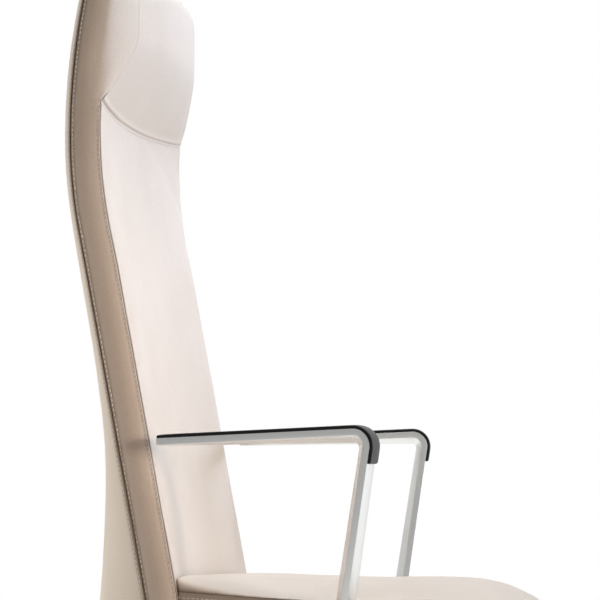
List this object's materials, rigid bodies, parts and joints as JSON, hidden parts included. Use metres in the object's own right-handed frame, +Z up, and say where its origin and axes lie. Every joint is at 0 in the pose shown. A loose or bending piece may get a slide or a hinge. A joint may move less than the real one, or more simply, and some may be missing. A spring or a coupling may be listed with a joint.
{
  "type": "swivel office chair",
  "caption": "High-back swivel chair in cream leather with a sewn-in headrest, open metal arms with black pads, synchronised tilt, gas lift and a star base on twin-wheel casters.",
  "frame": {"origin": "on the floor under the gas lift's axis", "axes": "+Z up, the chair faces -Y, +X is the sitter's left"},
  "size_m": [0.663, 0.7483, 1.284],
  "materials": {
    "leather_seat": "satin",
    "leather_back": "satin",
    "leather_shell": "satin",
    "polished_aluminium": "satin",
    "soft_pad": "satin",
    "black_plastic": "satin",
    "wheel_tread": "matte",
    "steel": "satin",
    "chrome_lift": "polished",
    "black_painted_steel": "satin",
    "die_cast_housing": "matte",
    "black_rubber": "matte",
    "plywood": "matte"
  },
  "bodies": {
    "base": {"star_base": "polished_aluminium", "lift_outer_tube": "black_painted_steel", "lift_guide_bush": "black_plastic", "caster_stems": "steel"},
    "lift_rod": {"lift_piston_rod": "steel", "lift_piston": "steel", "lift_thrust_bearing": "steel", "lift_bumper": "black_rubber", "lift_clip": "steel"},
    "chassis": {"lift_cylinder": "chrome_lift", "mechanism_housing": "die_cast_housing", "front_axle": "steel", "rear_axle": "steel", "tilt_spring": "black_rubber"},
    "valve": {"lift_valve_button": "steel"},
    "height_lever": {"height_lever": "steel", "height_lever_grip": "black_plastic"},
    "lock_lever": {"tilt_lock_lever": "steel", "tilt_lock_grip": "black_plastic"},
    "tension_knob": {"tension_knob": "black_plastic", "tension_screw": "steel"},
    "spring_cup": {"spring_cup": "black_painted_steel"},
    "seat": {"seat_carrier": "black_painted_steel", "seat_pan": "plywood", "seat_cushion": "leather_seat", "seat_bolts": "steel", "arm_right": "polished_aluminium", "arm_left": "polished_aluminium", "arm_pad_right": "soft_pad", "arm_pad_left": "soft_pad", "arm_bolts": "steel"},
    "back": {"back_bracket": "black_painted_steel", "sync_pin": "steel", "back_board": "plywood", "back_shell": "leather_shell", "back_cushion": "leather_back", "headrest_cushion": "leather_back", "back_bolts": "steel"},
    "caster_1": {"caster_1_hood": "black_plastic", "caster_1_axle": "steel"},
    "caster_1_left": {"caster_1_wheel_left": "wheel_tread"},
    "caster_1_right": {"caster_1_wheel_right": "wheel_tread"},
    "caster_2": {"caster_2_hood": "black_plastic", "caster_2_axle": "steel"},
    "caster_2_left": {"caster_2_wheel_left": "wheel_tread"},
    "caster_2_right": {"caster_2_wheel_right": "wheel_tread"},
    "caster_3": {"caster_3_hood": "black_plastic", "caster_3_axle": "steel"},
    "caster_3_left": {"caster_3_wheel_left": "wheel_tread"},
    "caster_3_right": {"caster_3_wheel_right": "wheel_tread"},
    "caster_4": {"caster_4_hood": "black_plastic", "caster_4_axle": "steel"},
    "caster_4_left": {"caster_4_wheel_left": "wheel_tread"},
    "caster_4_right": {"caster_4_wheel_right": "wheel_tread"},
    "caster_5": {"caster_5_hood": "black_plastic", "caster_5_axle": "steel"},
    "caster_5_left": {"caster_5_wheel_left": "wheel_tread"},
    "caster_5_right": {"caster_5_wheel_right": "wheel_tread"}
  },
  "joints": [
    {"name": "swivel", "type": "hinge", "parent": "base", "child": "lift_rod", "pos_m": [0, 0, 0.1], "axis": [0, 0, 1], "continuous": true},
    {"name": "seat_height", "type": "slide", "parent": "lift_rod", "child": "chassis", "axis": [0, 0, 1], "range_m": [0, 0.1]},
    {"name": "back_recline", "type": "hinge", "parent": "chassis", "child": "back", "pos_m": [0, 0.075, 0.34], "axis": [-1, 0, 0], "range_deg": [0, 20], "stiffness_Nm_per_rad": 120, "springref_deg": -34.38},
    {"name": "seat_tilt", "type": "hinge", "parent": "chassis", "child": "seat", "pos_m": [0, -0.125, 0.35], "axis": [-1, 0, 0], "range_deg": [0, 6], "deforming": ["tilt_spring"]},
    {"name": "height_lever_lift", "type": "hinge", "parent": "chassis", "child": "height_lever", "pos_m": [-0.05, 0, 0.3623], "axis": [0, 1, 0], "range_deg": [0, 6], "stiffness_Nm_per_rad": 1.5, "springref_deg": -11.46},
    {"name": "valve_press", "type": "slide", "parent": "chassis", "child": "valve", "axis": [0, 0, -1], "range_m": [0, 0.00524], "stiffness_N_per_m": 300},
    {"name": "tilt_lock", "type": "hinge", "parent": "chassis", "child": "lock_lever", "pos_m": [0.14, 0.04, 0.345], "axis": [1, 0, 0], "range_deg": [0, 30]},
    {"name": "tension_turn", "type": "hinge", "parent": "chassis", "child": "tension_knob", "pos_m": [0, -0.062, 0.3], "axis": [0, 0, 1], "range_deg": [0, 1440]},
    {"name": "cup_rise", "type": "slide", "parent": "chassis", "child": "spring_cup", "axis": [0, 0, 1], "range_m": [0, 0.00801]},
    {"name": "caster_1_swivel", "type": "hinge", "parent": "base", "child": "caster_1", "pos_m": [0, -0.318, 0.06], "axis": [0, 0, 1], "continuous": true},
    {"name": "caster_1_spin_left", "type": "hinge", "parent": "caster_1", "child": "caster_1_left", "pos_m": [0, -0.298, 0.03], "axis": [1, 0, 0], "continuous": true},
    {"name": "caster_1_spin_right", "type": "hinge", "parent": "caster_1", "child": "caster_1_right", "pos_m": [0, -0.298, 0.03], "axis": [1, 0, 0], "continuous": true},
    {"name": "caster_2_swivel", "type": "hinge", "parent": "base", "child": "caster_2", "pos_m": [0.30244, -0.09827, 0.06], "axis": [0, 0, 1], "continuous": true},
    {"name": "caster_2_spin_left", "type": "hinge", "parent": "caster_2", "child": "caster_2_left", "pos_m": [0.30244, -0.07827, 0.03], "axis": [1, 0, 0], "continuous": true},
    {"name": "caster_2_spin_right", "type": "hinge", "parent": "caster_2", "child": "caster_2_right", "pos_m": [0.30244, -0.07827, 0.03], "axis": [1, 0, 0], "continuous": true},
    {"name": "caster_3_swivel", "type": "hinge", "parent": "base", "child": "caster_3", "pos_m": [0.18692, 0.25727, 0.06], "axis": [0, 0, 1], "continuous": true},
    {"name": "caster_3_spin_left", "type": "hinge", "parent": "caster_3", "child": "caster_3_left", "pos_m": [0.18692, 0.27727, 0.03], "axis": [1, 0, 0], "continuous": true},
    {"name": "caster_3_spin_right", "type": "hinge", "parent": "caster_3", "child": "caster_3_right", "pos_m": [0.18692, 0.27727, 0.03], "axis": [1, 0, 0], "continuous": true},
    {"name": "caster_4_swivel", "type": "hinge", "parent": "base", "child": "caster_4", "pos_m": [-0.18692, 0.25727, 0.06], "axis": [0, 0, 1], "continuous": true},
    {"name": "caster_4_spin_left", "type": "hinge", "parent": "caster_4", "child": "caster_4_left", "pos_m": [-0.18692, 0.27727, 0.03], "axis": [1, 0, 0], "continuous": true},
    {"name": "caster_4_spin_right", "type": "hinge", "parent": "caster_4", "child": "caster_4_right", "pos_m": [-0.18692, 0.27727, 0.03], "axis": [1, 0, 0], "continuous": true},
    {"name": "caster_5_swivel", "type": "hinge", "parent": "base", "child": "caster_5", "pos_m": [-0.30244, -0.09827, 0.06], "axis": [0, 0, 1], "continuous": true},
    {"name": "caster_5_spin_left", "type": "hinge", "parent": "caster_5", "child": "caster_5_left", "pos_m": [-0.30244, -0.07827, 0.03], "axis": [1, 0, 0], "continuous": true},
    {"name": "caster_5_spin_right", "type": "hinge", "parent": "caster_5", "child": "caster_5_right", "pos_m": [-0.30244, -0.07827, 0.03], "axis": [1, 0, 0], "continuous": true}
  ],
  "couplings": [
    {"joint": "seat_tilt", "follows": "back_recline", "ratio": 0.3},
    {"joint": "valve_press", "follows": "height_lever_lift", "m_per_rad": 0.05},
    {"joint": "cup_rise", "follows": "tension_turn", "m_per_rad": 0.00031831}
  ]
}
